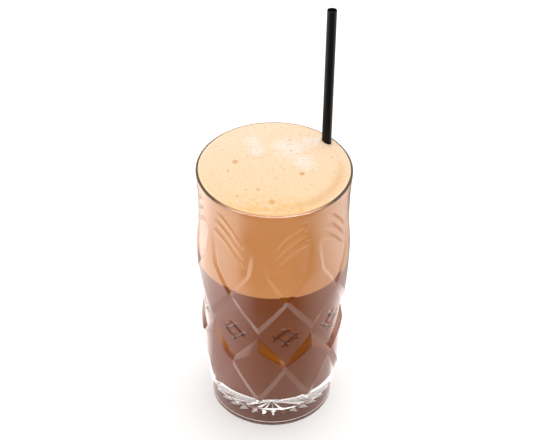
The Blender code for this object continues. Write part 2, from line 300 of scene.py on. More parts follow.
@lru_cache(maxsize=None)
def spire_angle(height):
    heights, angles = zip(*SPIRE_EDGE)
    return float(np.interp(height, heights, angles))


def relief_depth(angle, height):
    """How far the diamonds, the triangles below them and the fields above them are cut back."""
    top = ramp(height, edge_height(DIAMOND_TOP_OUTER, angle), edge_height(DIAMOND_TOP_INNER, angle))
    foot_outer = edge_height(DIAMOND_FOOT_OUTER, angle)
    foot = ramp(height, foot_outer, edge_height(DIAMOND_FOOT_INNER, angle))
    diamond = DIAMOND_DEPTH * min(top, foot)
    wall = ramp(height, edge_height(TRIANGLE_OUTER, angle), edge_height(TRIANGLE_INNER, angle))
    triangle = wall * facet_depth(height)
    spire = spire_angle(height)
    wall = ramp(min(angle, EIGHTH - angle), spire, spire + SPIRE_WALL)
    field = FIELD_DEPTH * wall * ramp(height, FIELD_FADE[1], FIELD_FADE[0])
    return max(diamond, triangle, field)


print("depth in a diamond:", round(relief_depth(DIAMOND_ANGLE, HATCH_MIDDLE) / MM, 2), "mm")


# %% Depth of the hatch and of the blades
@lru_cache(maxsize=None)
def hatch_lines():
    """Two pairs of crossing cuts in the diamond, with their ends run past the crossings."""
    across = math.degrees(HATCH_ACROSS / FLAT_RADIUS)
    lines = []
    for lean in (1, -1):
        step = flat(lean * across, HATCH_RISE)
        first = flat(DIAMOND_ANGLE - lean * across, HATCH_MIDDLE)
        second = flat(DIAMOND_ANGLE, HATCH_MIDDLE - HATCH_RISE)
        for corner in (first, second):
            lines.append((corner - step * HATCH_OVERRUN, corner + step * (1 + HATCH_OVERRUN)))
    return lines


def hatch_depth(place):
    deepest = 0.0
    for start, end in hatch_lines():
        along = (end - start).normalized()
        share = (place - start).dot(along) / (end - start).length
        if 0 < share < 1:
            side = abs((place - start).cross(along).z)
            taper = math.sin(math.pi * share) ** 0.5
            deepest = max(deepest, HATCH_DEPTH * taper * (1 - side / HATCH_FLANK))
    return deepest


def arch(angle):
    """Height of the lowest blade's line, which rises and flattens away from the fountain column."""
    angle = min(max(angle, ARCH_LEFT), ARCH_RIGHT)
    return ARCH_TOP - ARCH_RISE * ((ARCH_RIGHT - angle) / ARCH_WIDTH) ** ARCH_POWER


def blade_depth(angle, height):
    deepest = 0.0
    for lift, (first, last) in zip(BLADE_LIFTS, BLADE_SPANS):
        if first < angle < last:
            taper = math.sin(math.pi * (angle - first) / (last - first)) ** 0.5
            gap = abs(height - arch(angle) - lift)
            deepest = max(deepest, BLADE_DEPTH * taper * (1.0 - gap / BLADE_FLANK))
    return deepest


print("arch from", round(arch(0.0) / MM, 1), "to", round(arch(EIGHTH) / MM, 1), "mm")


# %% Creases along the edges of the cuts
def crease(bm, start, end, left, right, offset=0.0):
    """Splits the faces between two angles, and near a line, along that line of the flat drawing."""
    across = Vector((start.y - end.y, end.x - start.x, 0.0)).normalized()
    low, high = sorted((start.y, end.y))
    faces = []
    for face in bm.faces:
        heights = [vert.co.y for vert in face.verts]
        middle = angle_of(face.calc_center_median())
        if left <= middle <= right and max(heights) > low and min(heights) < high:
            faces.append(face)
    edges = list({edge for face in faces for edge in face.edges})
    verts = list({vert for face in faces for vert in face.verts})
    bmesh.ops.bisect_plane(bm, geom=verts + edges + faces, dist=0.05 * MM,
                           plane_co=start + across * offset, plane_no=across)


def crease_edges(bm):
    """Creases along the top and the bottom of every wall, on both sides of the diamond's axis."""
    edges = [DIAMOND_TOP_INNER, DIAMOND_TOP_OUTER, DIAMOND_FOOT_INNER, DIAMOND_FOOT_OUTER,
             TRIANGLE_INNER, TRIANGLE_OUTER]
    lines = [((0.0, column), (DIAMOND_ANGLE, axis)) for column, axis in edges]
    for wall in (0.0, SPIRE_WALL):
        for (low, low_angle), (high, high_angle) in zip(SPIRE_EDGE, SPIRE_EDGE[1:]):
            lines.append(((low_angle + wall, low), (high_angle + wall, high)))
    for (first_angle, first), (second_angle, second) in lines:
        crease(bm, flat(first_angle, first), flat(second_angle, second), 0.0, DIAMOND_ANGLE)
        crease(bm, flat(EIGHTH - first_angle, first), flat(EIGHTH - second_angle, second),
               DIAMOND_ANGLE, EIGHTH)


def crease_hatch(bm):
    for start, end in hatch_lines():
        for offset in (-HATCH_FLANK, 0.0, HATCH_FLANK):
            crease(bm, start, end, DIAMOND_ANGLE - HATCH_REACH, DIAMOND_ANGLE + HATCH_REACH, offset)


print("creases of the hatch in each diamond:", 3 * len(hatch_lines()))


# %% One eighth of the side
def row_heights(angle):
    """Heights of the drawing's rows: straight ones below, and ones that follow the blades above."""
    rows = [row * MM for row in PLAIN_ROWS]
    for lift in BLADE_LIFTS:
        for side in (-BLADE_FLANK, 0.0, BLADE_FLANK):
            rows.append(arch(angle) + lift + side)
    return rows + [(rows[-1] + SIDE_TOP) / 2, SIDE_TOP]


def fine_places():
    """Places of the fine rows, counted in coarse rows, so that every cell is about as tall."""
    typical = row_heights(DIAMOND_ANGLE)
    places = [0.0]
    for index, (low, high) in enumerate(zip(typical, typical[1:])):
        count = max(1, math.ceil((high - low) / CELL_HEIGHT))
        places += [index + (step + 1) / count for step in range(count)]
    return places


def cut_eighth():
    """One eighth of the glass's side on the flat drawing, with its depth of cut kept in z."""
    places = fine_places()
    bm = bmesh.new()
    bmesh.ops.create_grid(bm, x_segments=COLUMNS, y_segments=len(places) - 1, size=0.5)
    for vert in bm.verts:
        angle = (vert.co.x + 0.5) * EIGHTH
        row = round((vert.co.y + 0.5) * (len(places) - 1))
        heights = row_heights(angle)
        vert.co = flat(angle, np.interp(places[row], range(len(heights)), heights))
    crease_edges(bm)
    crease_hatch(bm)
    bmesh.ops.remove_doubles(bm, verts=bm.verts, dist=0.04 * MM)
    bmesh.ops.triangulate(bm, faces=bm.faces, quad_method="SHORT_EDGE", ngon_method="BEAUTY")
    for vert in bm.verts:
        angle, height = angle_of(vert.co), vert.co.y
        depth = relief_depth(angle, height) + hatch_depth(vert.co) + blade_depth(angle, height)
        vert.co.z = -depth
    return bm


print("rows in the drawing:", len(fine_places()))


# %% Wrapping the drawing round the axis
def wrap(verts, start, mirror):
    """Wraps a flat eighth round the axis, from its start angle."""
    for vert in verts:
        angle = angle_of(vert.co)
        angle = start + (EIGHTH - angle if mirror else angle)
        radius = side_radius(vert.co.y) + vert.co.z
        turn = math.radians(angle)
        vert.co = (radius * math.sin(turn), -radius * math.cos(turn), vert.co.y)


def add_cut_side(bm):
    eighth = cut_eighth()
    mesh = bpy.data.meshes.new("eighth")
    eighth.to_mesh(mesh)
    eighth.free()
    for index in range(8):
        first_vert, first_face = len(bm.verts), len(bm.faces)
        bm.from_mesh(mesh)
        bm.verts.ensure_lookup_table()
        bm.faces.ensure_lookup_table()
        mirror = index % 2 == 1
        wrap(bm.verts[first_vert:], FOUNTAIN_ANGLE + EIGHTH * index, mirror)
        if mirror:
            bmesh.ops.reverse_faces(bm, faces=bm.faces[first_face:])
    bpy.data.meshes.remove(mesh)


# %% [markdown]
# ## The turned parts of the glass
#
# The lip, the bore and the foot were turned on the blank before it was cut, so each is an
# outline spun round the axis. The lip is half a circle, because it was melted smooth. The foot
# is hollowed a little, and a star of twenty-four V-shaped grooves is cut into the hollow. Seen
# from above, the flat parts of the hollow mirror the drink, and the grooves flash white. A small
# step at the inner edge of the foot's ring catches the light as a thin pale line.

# %% Star under the foot
STAR_POINTS = 24
STAR_TURN = 3.75
FOOT_RING_INNER = 26.6 * MM
FOOT_RING_STEP = 0.3 * MM
HOLLOW_HEIGHT = 2.0 * MM
HOLLOW_EDGE = 22 * MM
STAR_TIP_RADIUS = 21 * MM
STAR_RADIUS = 16.5 * MM
STAR_VALLEY_HEIGHT = 4.2 * MM


def star_place(radius, corner, height):
    """A point of the star, at a whole or part count of corners round the axis."""
    around = math.radians(STAR_TURN) + math.pi * corner / STAR_POINTS
    return Vector((radius * math.sin(around), -radius * math.cos(around), height))


def add_star(bm):
    """V-shaped grooves from the middle, each with its tip on the edge of the hollow."""
    corners = STAR_POINTS * 2
    steps = SEGMENTS // corners
    centre = bm.verts.new((0.0, 0.0, STAR_VALLEY_HEIGHT))
    ring = []
    for corner in range(corners):
        height = STAR_VALLEY_HEIGHT if corner % 2 == 0 else HOLLOW_HEIGHT
        ring.append(bm.verts.new(star_place(STAR_RADIUS, corner, height)))
    rim = []
    for step in range(SEGMENTS):
        rim.append(bm.verts.new(star_place(STAR_TIP_RADIUS, step / steps, HOLLOW_HEIGHT)))
    for corner in range(corners):
        after = (corner + 1) % corners
        bm.faces.new((centre, ring[corner], ring[after]))
        arc = [rim[(corner * steps + step) % SEGMENTS] for step in range(steps + 1)]
        tip, ridge = (arc[0], ring[after]) if corner % 2 == 0 else (arc[-1], ring[corner])
        bm.faces.new((ring[corner], ring[after], tip))
        for first, second in zip(arc, arc[1:]):
            bm.faces.new((ridge, first, second))


tip_gap = math.tau * STAR_TIP_RADIUS / STAR_POINTS
print(STAR_POINTS, "points, each", round(tip_gap / MM, 1), "mm apart")

# %% Lip, bore and foot
LIP_STEPS = 16
FILLET_STEPS = 14
HEEL_STEPS = 8
HEEL_TOP = 6 * MM
HEEL_FLARE = 0.05 * MM
LIP_DEPTH = 5 * MM
GLASS_CREASE = 12.0


def bore_outline(inset, top):
    """The bore's outline from the axis up to a height, moved inwards by an inset."""
    fillet = FLOOR_FILLET - inset
    middle = BORE_FOOT_RADIUS - FLOOR_FILLET
    height = FLOOR_HEIGHT + FLOOR_FILLET
    points = [(0.0, height - fillet)]
    for step in range(FILLET_STEPS + 1):
        around = math.pi / 2 * step / FILLET_STEPS
        points.append((middle + fillet * math.sin(around), height - fillet * math.cos(around)))
    points.append((bore_radius(top) - inset, top))
    return points


def lip_outline():
    points = []
    for step in range(LIP_STEPS + 1):
        around = math.pi * step / LIP_STEPS
        points.append((RIM_RADIUS - LIP_RADIUS + LIP_RADIUS * math.cos(around),
                       GLASS_HEIGHT - LIP_RADIUS + LIP_RADIUS * math.sin(around)))
    return points


def foot_outline():
    """From the side down round the heel, and in over the flat ring to its inner edge."""
    points = [(side_radius(SIDE_FOOT), SIDE_FOOT), (HEEL_RADIUS + HEEL_FLARE, HEEL_TOP)]
    width = HEEL_RADIUS - FOOT_RADIUS
    for step in range(HEEL_STEPS + 1):
        around = math.pi / 2 * step / HEEL_STEPS
        points.append((FOOT_RADIUS + width * math.cos(around),
                       HEEL_HEIGHT - HEEL_HEIGHT * math.sin(around)))
    return points + [(FOOT_RING_INNER, 0.0)]


def hollow_outline():
    """From the ring's inner edge, over its small step and the gentle wall, to the star's tips."""
    return [
        (FOOT_RING_INNER, 0.0),
        (FOOT_RING_INNER - FOOT_RING_STEP, FOOT_RING_STEP),
        (HOLLOW_EDGE, HOLLOW_HEIGHT),
        (STAR_TIP_RADIUS, HOLLOW_HEIGHT),
    ]


def build_glass():
    bm = bmesh.new()
    add_cut_side(bm)
    bore = list(reversed(bore_outline(0.0, GLASS_HEIGHT - LIP_DEPTH)))
    spin_outline(bm, [(side_radius(SIDE_TOP), SIDE_TOP)] + lip_outline() + bore, SEGMENTS)
    spin_outline(bm, foot_outline(), SEGMENTS)
    spin_outline(bm, hollow_outline(), SEGMENTS)
    add_star(bm)
    close_seams(bm)
    return make_piece("cut_tumbler", bm, GLASS_CREASE)


# %% [markdown]
# ## Clear glass
#
# Glass bends light, so it is a Principled shader with full transmission. A renderer would take
# it for solid when it works out shadows, and the drink inside would be black. So shadow rays and
# soft bounced light pass straight through it, by a Transparent shader chosen with Light Path.
# The melted lip would mirror the darker room above as a thin dark line, on the two sides and
# behind, so that reflection is painted into the lip's colour as a dark tint.

# %% Helpers for materials
WHITE = (1.0, 1.0, 1.0, 1.0)


def new_material(name):
    material = bpy.data.materials.new(name)
    material.use_nodes = True
    nodes = material.node_tree.nodes
    shader, output = nodes["Principled BSDF"], nodes["Material Output"]
    return material, nodes, material.node_tree.links, shader, output


def add_ramp(nodes, links, value, low, high, dark, light):
    """A colour that runs from dark to light as a value goes from low to high, and its node."""
    scale = nodes.new("ShaderNodeMapRange")
    scale.inputs["From Min"].default_value = low
    scale.inputs["From Max"].default_value = high
    mix = nodes.new("ShaderNodeMix")
    mix.data_type = "RGBA"
    mix.inputs["A"].default_value = dark
    mix.inputs["B"].default_value = light
    links.new(value, scale.inputs["Value"])
    links.new(scale.outputs["Result"], mix.inputs["Factor"])
    return mix.outputs["Result"], mix


def add_height(nodes, links):
    """The Object coordinate, and a node that splits it into across, back and height."""
    place = nodes.new("ShaderNodeTexCoord")
    axes = nodes.new("ShaderNodeSeparateXYZ")
    links.new(place.outputs["Object"], axes.inputs[0])
    return place.outputs["Object"], axes


def add_noise(nodes, links, place, scale, detail=3.0):
    noise_node = nodes.new("ShaderNodeTexNoise")
    noise_node.inputs["Scale"].default_value = scale
    noise_node.inputs["Detail"].default_value = detail
    links.new(place, noise_node.inputs["Vector"])
    return noise_node.outputs["Fac"]


def add_span(nodes, links, value, low, high, first, second):
    """A number that runs from first to second as a value goes from low to high."""
    scale = nodes.new("ShaderNodeMapRange")
    scale.inputs["From Min"].default_value = low
    scale.inputs["From Max"].default_value = high
    scale.inputs["To Min"].default_value = first
    scale.inputs["To Max"].default_value = second
    links.new(value, scale.inputs["Value"])
    return scale.outputs["Result"]


def add_attribute(nodes, name):
    attribute = nodes.new("ShaderNodeAttribute")
    attribute.attribute_name = name
    return attribute.outputs["Fac"]


def add_blend(nodes, links, factor, first, second):
    """A blend of two colours that come from other nodes."""
    mix = nodes.new("ShaderNodeMix")
    mix.data_type = "RGBA"
    links.new(factor, mix.inputs["Factor"])
    links.new(first, mix.inputs["A"])
    links.new(second, mix.inputs["B"])
    return mix.outputs["Result"]


def add_math(nodes, links, operation, first, second):
    """One step of arithmetic with two numbers, each of them plain or from another node."""
    node = nodes.new("ShaderNodeMath")
    node.operation = operation
    for socket, value in zip(node.inputs, (first, second)):
        if isinstance(value, float):
            socket.default_value = value
        else:
            links.new(value, socket)
    return node.outputs[0]


# %% Glass material
GLASS_CLEAR = (0.99, 0.995, 0.99, 1.0)
GLASS_SHADE = (0.97, 0.97, 0.965, 1.0)
GLASS_IOR = 1.52
# A dark tint painted on the lip stands for the darker room that the lip mirrors.
LIP_PAINTED_REFLECTION = (0.03, 0.028, 0.026, 1.0)
LIP_REFLECTION_FOOT = 148.9 * MM
LIP_REFLECTION_FADE = 0.3 * MM
LIP_BESIDE = (16 * MM, 30 * MM)
LIP_BEHIND = (10 * MM, 20 * MM)
LIP_BEHIND_SHARE = 0.6


def lip_reflection_share(nodes, links):
    """How much painted dark reflection the lip shows: most at the two sides, less behind, and clear at
    the front.
    """
    axes = add_height(nodes, links)[1]
    across = add_math(nodes, links, "ABSOLUTE", axes.outputs["X"], 0.0)
    beside = add_span(nodes, links, across, *LIP_BESIDE, 0.0, 1.0)
    behind = add_span(nodes, links, axes.outputs["Y"], *LIP_BEHIND, 0.0, LIP_BEHIND_SHARE)
    lip_high = LIP_REFLECTION_FOOT + LIP_REFLECTION_FADE
    high = add_span(nodes, links, axes.outputs["Z"], LIP_REFLECTION_FOOT, lip_high, 0.0, 1.0)
    return add_math(nodes, links, "MULTIPLY", add_math(nodes, links, "MAXIMUM", beside, behind), high)


def glass_material():
    material, nodes, links, shader, output = new_material("clear_cut_glass")
    lip = lip_reflection_share(nodes, links)
    # The glass colour carries the lip's painted dark reflection.
    clear = add_ramp(nodes, links, lip, 0.0, 1.0, GLASS_CLEAR, LIP_PAINTED_REFLECTION)[0]
    links.new(clear, shader.inputs["Base Color"])
    shader.inputs["Roughness"].default_value = 0.0
    shader.inputs["IOR"].default_value = GLASS_IOR
    shader.inputs["Transmission Weight"].default_value = 1.0
    through = nodes.new("ShaderNodeBsdfTransparent")
    through.inputs["Color"].default_value = GLASS_SHADE
    path = nodes.new("ShaderNodeLightPath")
    shadow, soft = path.outputs["Is Shadow Ray"], path.outputs["Is Diffuse Ray"]
    mix = nodes.new("ShaderNodeMixShader")
    links.new(add_math(nodes, links, "MAXIMUM", shadow, soft), mix.inputs["Fac"])
    links.new(shader.outputs[0], mix.inputs[1])
    links.new(through.outputs[0], mix.inputs[2])
    links.new(mix.outputs[0], output.inputs["Surface"])
    return material


tumbler = build_glass()
finish(tumbler, "glass", glass_material())

# %% [markdown]
# ## Coffee
#
# The drink touches the glass everywhere. If its skin lay on the bore, a thin layer of air would
# show as a mirror, so the drink reaches a hair's breadth into the wall. Its top edge is a little
# wavy, where the foam has settled on it.
#
# A facet of the glass that leans up to the light works like a window: behind it the coffee glows
# orange. A renderer is slow to find light that is bent on its way in, so this light is painted:
# each point of the drink's skin is given a glow worked out from the slope of the glass in front of
# it, and the hatch lines paint shade on the coffee behind them.

# %% How much light each facet lets in
FROM_LIGHT = Vector((0.32, -0.55, 0.77)).normalized()
SLOPE_STEP = 0.15 * MM
LIGHT_DROP = 2.2 * MM
HATCH_GLOW = 0.35
# Painted shade on the coffee behind the hatch lines.
HATCH_SHADE = 0.12


def fold_angle(around):
    """Angle round the glass, folded into one eighth of the cut pattern."""
    return abs((around - FOUNTAIN_ANGLE + EIGHTH) % (2 * EIGHTH) - EIGHTH)


def facet_cut(around, height):
    angle = fold_angle(around)
    return relief_depth(angle, height) + blade_depth(angle, height)


def hatch_cut(around, height):
    return hatch_depth(flat(fold_angle(around), height))


def lit_slope(cut, around, height):
    """How much more than the plain wall a cut here faces the light."""
    turn = math.degrees(SLOPE_STEP / FLAT_RADIUS)
    rise = cut(around, height + SLOPE_STEP) - cut(around, height - SLOPE_STEP)
    side = cut(around + turn, height) - cut(around - turn, height)
    theta = math.radians(around)
    outward = Vector((math.sin(theta), -math.cos(theta), 0.0))
    tangent = Vector((math.cos(theta), math.sin(theta), 0.0))
    normal = outward + tangent * side / (2 * SLOPE_STEP)
    normal.z = rise / (2 * SLOPE_STEP)
    return normal.normalized().dot(FROM_LIGHT) - outward.dot(FROM_LIGHT)


def facet_glow(around, height):
    """Painted glow behind a facet, or painted shade behind a hatch line, which is below nought."""
    hatch = HATCH_GLOW * lit_slope(hatch_cut, around, height)
    if hatch_cut(around, height) > 0:
        hatch -= HATCH_SHADE
    return max(0.0, lit_slope(facet_cut, around, height)) + hatch


def add_glow(piece):
    """Keeps the painted light and shade of each point of a drink's skin in an attribute."""
    glow = piece.data.attributes.new("glow", "FLOAT", "POINT")
    values = []
    for vert in piece.data.vertices:
        x, y, z = vert.co
        inside = math.hypot(x, y) < bore_radius(z) - 1 * MM
        if inside or not SIDE_FOOT + 3 * MM < z < SIDE_TOP - 5 * MM:
            values.append(0.0)
        else:
            values.append(facet_glow(math.degrees(math.atan2(x, -y)), z + LIGHT_DROP))
    glow.data.foreach_set("value", values)
    print(piece.name, "glow from", round(min(values), 2), "to", round(max(values), 2))


# %% Coffee piece
INTO_WALL = 0.12 * MM
coffee_low, coffee_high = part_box("coffee")
COFFEE_TOP = coffee_high[2] + 0.15 * MM
LINE_WAVE = 0.35 * MM
DRINK_SEGMENTS = 320
DRINK_RINGS = 80


def line_wave(x, y):
    """Rise and fall of the line between coffee and foam."""
    around = math.atan2(y, x)
    wave = 0.5 * math.sin(3 * around + 1.0) + 0.3 * math.sin(7 * around)
    return LINE_WAVE * (wave + 0.2 * math.sin(13 * around + 2.0))


def wall_rings(low, high, count):
    """Points of an outline up the bore's wall, from one height to another."""
    heights = [low + (high - low) * ring / count for ring in range(count + 1)]
    return [(bore_radius(height) + INTO_WALL, height) for height in heights]


def build_coffee():
    bm = bmesh.new()
    fillet = bore_outline(-INTO_WALL, COFFEE_TOP)[:-1]
    wall = wall_rings(FLOOR_HEIGHT + FLOOR_FILLET, COFFEE_TOP, DRINK_RINGS)
    middle = [(wall[-1][0] * 0.5, COFFEE_TOP), (0.0, COFFEE_TOP)]
    spin_outline(bm, fillet + wall[1:] + middle, DRINK_SEGMENTS)
    close_seams(bm)
    for vert in bm.verts:
        if vert.co.z > COFFEE_TOP - 0.01 * MM:
            vert.co.z += line_wave(vert.co.x, vert.co.y)
    piece = make_piece("coffee_body", bm)
    add_glow(piece)
    return piece


# %% [markdown]
# ## Coffee finish
#
# The coffee is nearly opaque, so it is a plain Principled shader with no gloss of its own: the
# glass in front has the gloss. Its brown is darkest low down and redder near the foam, with slow
# clouds. Painted light makes it lighter towards the two sides, the painted glow blends it towards
# orange behind facets that lean to the light, and painted shade darkens it behind the hatch lines.

# %% Coffee material
COFFEE_LOW = (0.140, 0.036, 0.012, 1.0)
COFFEE_HIGH = (0.175, 0.045, 0.010, 1.0)
COFFEE_GLOW = (0.34, 0.105, 0.008, 1.0)
# Painted shade behind the hatch lines.
COFFEE_SHADE = (0.035, 0.010, 0.006, 1.0)
# Painted light: the coffee is lighter towards the two sides, darkest a little right of the middle.
COFFEE_LIT_SIDE = (0.230, 0.075, 0.045, 1.0)
COFFEE_DARKEST = 7 * MM
CLOUD_SCALE = 45.0
CLOUD_RISE = 0.03


def coffee_material():
    material, nodes, links, shader, output = new_material("iced_coffee")
    place, axes = add_height(nodes, links)
    cloud = add_math(nodes, links, "MULTIPLY", add_noise(nodes, links, place, CLOUD_SCALE), CLOUD_RISE)
    cloud = add_math(nodes, links, "ADD", cloud, axes.outputs["Z"])
    top = COFFEE_TOP + 20 * MM
    brown, mix = add_ramp(nodes, links, cloud, FLOOR_HEIGHT, top, COFFEE_LOW, COFFEE_HIGH)
    # Painted light, lighter towards the two sides.
    across = add_math(nodes, links, "SUBTRACT", axes.outputs["X"], COFFEE_DARKEST)
    across = add_math(nodes, links, "ABSOLUTE", across, 0.0)
    lit_sides, mix = add_ramp(nodes, links, across, 8 * MM, 30 * MM, COFFEE_LOW, COFFEE_LIT_SIDE)
    links.new(brown, mix.inputs["A"])
    glow = add_attribute(nodes, "glow")
    # Painted shade behind the hatch lines, where the glow is below nought.
    dark, mix = add_ramp(nodes, links, glow, -0.25, -0.02, COFFEE_SHADE, COFFEE_LOW)
    links.new(lit_sides, mix.inputs["B"])
    # Painted light: an orange glow behind facets that lean to the light.
    color, mix = add_ramp(nodes, links, glow, 0.05, 0.42, COFFEE_LOW, COFFEE_GLOW)
    links.new(dark, mix.inputs["A"])
    links.new(color, shader.inputs["Base Color"])
    shader.inputs["Roughness"].default_value = 0.4
    shader.inputs["Specular IOR Level"].default_value = 0.0
    return material


coffee = build_coffee()
finish(coffee, "coffee", coffee_material())

# %% [markdown]
# ## Foam
#
# Beaten foam is a heap of tiny bubbles. Here it is a spun body with a dense top, whose points
# are lifted into a soft dome and pushed down into pits where a bubble has burst. A few larger
# bubbles still stand, as low rings round a thin stained skin, and each keeps its stain in an
# attribute for the material, which also holds a darker arc of painted shade inside the rim.
# Where the foam clings to the straw it slopes down to one side.

# %% Foam sizes
FOAM_RINGS = 165
FOAM_SEGMENTS = 416
FOAM_WALL_RINGS = 64
FOAM_EDGE = 149.6 * MM
FOAM_DOME = 2.0 * MM
FOAM_CREASE = 60.0
GRAIN_DEPTH = 0.07 * MM
GRAIN_SIZES = (1.6 * MM, 0.7 * MM)
FOAM_SWELL = 0.25 * MM
BUBBLE_RIM = 0.22 * MM

# Radius and height of the foam's edge, which laps a little over the lip
FOAM_OVER_LIP = (38.8 * MM, 150.05 * MM)

# The foam slopes down to the right where it clings to the straw
STRAW_RADIUS = 2.5 * MM
STRAW_IN_FOAM = Vector((26.6 * MM, 22.2 * MM))
STRAW_DIP = 1.6 * MM
STRAW_DIP_REACH = 4.5 * MM

# Larger bubbles: place across and back, radius in millimetres, and depth of stain
BUBBLES = [
    (-20.0, 2.9, 1.7, 0.75), (-0.9, -29.4, 1.7, 0.7), (14.0, -6.3, 1.4, 0.9),
    (8.4, 12.8, 0.9, 0.5), (7.8, 22.2, 0.9, 0.45), (-8.0, -19.9, 1.2, 0.6),
    (-23.4, -4.7, 0.9, 0.6), (-14.0, -20.0, 0.8, 0.7), (-18.4, -25.0, 0.9, 0.6),
    (-10.4, -28.0, 0.8, 0.6), (-26.9, 12.9, 0.7, 0.5), (0.4, -10.8, 0.7, 0.5),
    (4.9, -3.2, 0.8, 0.4), (-0.7, -3.4, 0.6, 0.4), (29.3, 8.2, 0.7, 0.5),
    (22.7, 12.3, 0.6, 0.4), (-14.0, 8.1, 0.7, 0.45), (-5.4, 34.0, 0.6, 0.5),
    (11.5, 10.0, 0.8, 0.3), (-17.8, 18.0, 0.5, 0.3),
]

# Whiter patches: place across and back, half width and half depth in millimetres
CREAM_PATCHES = [
    (9.4, 14.5, 8.0, 11.0), (14.5, 4.0, 7.5, 7.0), (2.7, 17.8, 5.5, 5.0),
    (-12.2, 20.0, 4.5, 6.5), (-9.0, 13.0, 4.5, 5.0), (19.0, 22.0, 7.0, 5.0),
]

# A darker arc of painted shade inside the rim at the right front
ARC_RADIUS = 33.8 * MM
ARC_WIDTH = 2.4 * MM
ARC_MIDDLE = math.radians(-32)
ARC_REACH = math.radians(42)
ARC_SHADE = 0.42

# Pits, with their reach from the axis and their radii in millimetres
PIT_COUNT = 420
PIT_SEED = 11
PIT_REACH = 36
PIT_LEAST = 0.16
PIT_SPREAD = 0.34


def scatter_pits():
    """Small burst bubbles, thicker towards the front, as (x, y, radius, stain)."""
    random = np.random.default_rng(PIT_SEED)
    pits = []
    while len(pits) < PIT_COUNT:
        x, y = random.uniform(-PIT_REACH, PIT_REACH, 2)
        if math.hypot(x, y) < PIT_REACH and random.uniform() < 0.62 - y / 55:
            radius = PIT_LEAST + PIT_SPREAD * random.uniform() ** 3
            pits.append((x, y, radius, random.uniform(0.15, 0.6)))
    return pits


PITS = scatter_pits()
print(len(BUBBLES), "bubbles and", len(PITS), "pits")


# %% Foam piece
def foam_height(x, y):
    """Height of the foam's top, with its dome, swells, slope at the straw and fine grain."""
    share = math.hypot(x, y) / bore_radius(FOAM_EDGE)
    around = math.atan2(y, x)
    swell = math.sin(3 * around + 0.7) * (1 - share ** 4)
    swell += 0.6 * math.cos(7 * share + 2 * around) * (1 - share ** 2)
    place = Vector((x, y, 0.0))
    coarse, fine = GRAIN_SIZES
    grain = noise.noise(place / coarse) + 0.6 * noise.noise(place / fine)
    plain = FOAM_EDGE + FOAM_DOME * (1 - share ** 8) + FOAM_SWELL * share * swell
    away = (Vector((x, y)) - STRAW_IN_FOAM).length / STRAW_DIP_REACH
    across = ramp(x, STRAW_IN_FOAM.x - STRAW_RADIUS, STRAW_IN_FOAM.x + STRAW_RADIUS) - 0.5
    plain -= STRAW_DIP * across * math.exp(-away ** 4)
    return plain + GRAIN_DEPTH * grain * (1 - share ** 12)


def bubble_shape(distance, radius):
    """Height of a bubble's ring and hollow at a distance from its middle."""
    share = distance / radius
    ring = math.exp(-((share - 1.0) / 0.22) ** 2)
    hollow = max(0.0, 1.0 - share ** 2)
    return BUBBLE_RIM * min(radius / MM, 1.0) * (0.45 * ring - 0.9 * hollow)


def cream_at(x, y):
    """Where the froth is whitest, with ragged edges."""
    place = Vector((x, y, 0.0))
    ragged = 0.45 * noise.noise(place / (6 * MM)) + 0.35 * noise.noise(place / (2 * MM))
    most = 0.0
    for middle_x, middle_y, wide, deep in CREAM_PATCHES:
        away = math.hypot((x / MM - middle_x) / wide, (y / MM - middle_y) / deep)
        most = max(most, 1.15 - away + ragged)
    return min(max(most * 1.3, 0.0), 1.0)


def arc_shade_at(x, y):
    """Painted shade of the darker arc."""
    across = (math.hypot(x, y) - ARC_RADIUS) / ARC_WIDTH
    along = (math.atan2(y, x) - ARC_MIDDLE) / ARC_REACH
    return ARC_SHADE * math.exp(-across ** 2 - along ** 4)


def add_bubbles(piece):
    """Sinks the bubbles and pits into the foam's top and keeps the colours' shares in attributes."""
    verts = piece.data.vertices
    places = np.empty(len(verts) * 3)
    verts.foreach_get("co", places)
    places = places.reshape(-1, 3)
    top = places[:, 2] > FOAM_EDGE
    stain_and_shade = np.zeros(len(verts))
    cream = np.zeros(len(verts))
    for index in np.nonzero(top)[0]:
        # The arc inside the rim is painted shade, kept with the bubbles' stains.
        stain_and_shade[index] = arc_shade_at(*places[index, :2])
        cream[index] = cream_at(*places[index, :2])
    for x, y, radius, depth in BUBBLES + PITS:
        distance = np.hypot(places[:, 0] - x * MM, places[:, 1] - y * MM)
        for index in np.nonzero(top & (distance < 1.8 * radius * MM))[0]:
            places[index, 2] += bubble_shape(distance[index], radius * MM)
            fill = max(0.0, 1.0 - (distance[index] / (radius * MM * 1.1)) ** 4)
            stain_and_shade[index] = max(stain_and_shade[index], depth * fill)
    verts.foreach_set("co", places.ravel())
    for name, values in (("stain_and_shade", stain_and_shade), ("cream", cream)):
        piece.data.attributes.new(name, "FLOAT", "POINT").data.foreach_set("value", values)


def build_foam():
    bm = bmesh.new()
    wall = wall_rings(COFFEE_TOP, FOAM_EDGE, FOAM_WALL_RINGS)
    foot, edge = wall[0][0], wall[-1][0]
    outline = [(0.0, COFFEE_TOP - 1 * MM), (foot - 2 * MM, COFFEE_TOP - 1 * MM)] + wall
    over_lip, over_height = FOAM_OVER_LIP
    outline.append((over_lip, over_height))
    for ring in range(1, FOAM_RINGS + 1):
        outline.append((edge * (FOAM_RINGS - ring) / FOAM_RINGS, over_height))
    spin_outline(bm, outline, FOAM_SEGMENTS)
    close_seams(bm)
    for vert in bm.verts:
        if vert.co.z > over_height - 0.01 * MM:
            vert.co.z = max(over_height, foam_height(vert.co.x, vert.co.y))
        elif abs(vert.co.z - COFFEE_TOP) < 0.01 * MM:
            vert.co.z += line_wave(vert.co.x, vert.co.y)
    piece = make_piece("foam_head", bm, FOAM_CREASE)
    add_glow(piece)
    add_bubbles(piece)
    return piece
